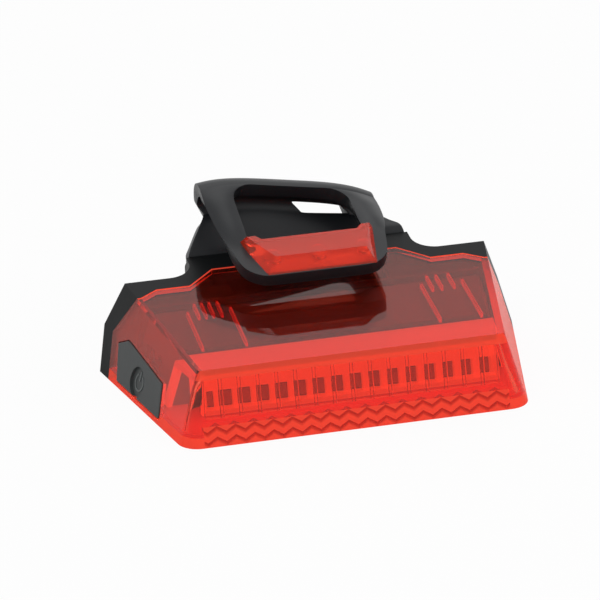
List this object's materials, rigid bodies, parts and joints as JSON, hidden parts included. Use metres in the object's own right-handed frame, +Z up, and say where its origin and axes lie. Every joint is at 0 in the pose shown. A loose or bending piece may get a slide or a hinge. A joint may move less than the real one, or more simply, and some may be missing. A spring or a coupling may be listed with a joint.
{
  "type": "bicycle rear light",
  "caption": "Wide strap-on rear light with a red wedge lens over a row of lights, a black back block and a windowed silicone band",
  "frame": {"origin": "middle of the lens's flat base: half way along its depth and width", "axes": "+X along the width, +Y back to the tube, +Z up from the base to the roof"},
  "size_m": [0.0694, 0.0466, 0.0285],
  "materials": {
    "red_lens": "clear red, glossy",
    "red_badge": "clear red, glossy",
    "black_shell": "satin black",
    "soft_rubber": "matte",
    "silicone": "satin silicone",
    "button_rubber": "matte",
    "clear_plastic": "clear",
    "white_trough": "satin",
    "board": "satin",
    "light_squares": "glossy",
    "dark_tray": "satin",
    "steel": "satin",
    "battery_foil": "satin",
    "wire_sleeve": "matte"
  },
  "bodies": {
    "light": {"lens_cover": "red_lens", "rear_housing": "black_shell", "housing_gasket": "soft_rubber", "fluted_strip": "clear_plastic", "reflector": "white_trough", "led_board": "board", "leds": "light_squares", "battery_tray": "dark_tray", "main_board": "board", "board_screws": "steel", "battery_cell": "battery_foil", "control_chips": "dark_tray", "small_parts": "white_trough", "battery_wires": "wire_sleeve", "tact_switch": "steel", "switch_board": "board", "usb_socket": "steel", "cover_anchor": "soft_rubber", "housing_screws": "steel", "strap_clamp": "black_shell", "strap_screws": "steel", "saddle_pad": "soft_rubber", "strap_root": "silicone"},
    "button": {"power_button": "button_rubber", "switch_plunger": "black_shell"},
    "strap_end": {"strap_loop": "silicone", "badge_studs": "black_shell", "badge_lens": "red_badge"},
    "port_flap": {"port_cover": "soft_rubber"}
  },
  "joints": [
    {"name": "button", "type": "slide", "parent": "light", "child": "button", "axis": [0.9352, 0.1964, -0.2946], "range_m": [0, 0.0004], "stiffness_N_per_m": 800},
    {"name": "strap_end", "type": "hinge", "parent": "light", "child": "strap_end", "pos_m": [0, 0.0307, 0.0214], "axis": [-0.9864, 0, 0.1644], "range_deg": [0, 170], "stiffness_Nm_per_rad": 0.004},
    {"name": "port_cover", "type": "hinge", "parent": "light", "child": "port_flap", "pos_m": [0.02815, 0.0235, 0.0086], "axis": [0, 0, -1], "range_deg": [0, 100], "stiffness_Nm_per_rad": 0.001}
  ]
}
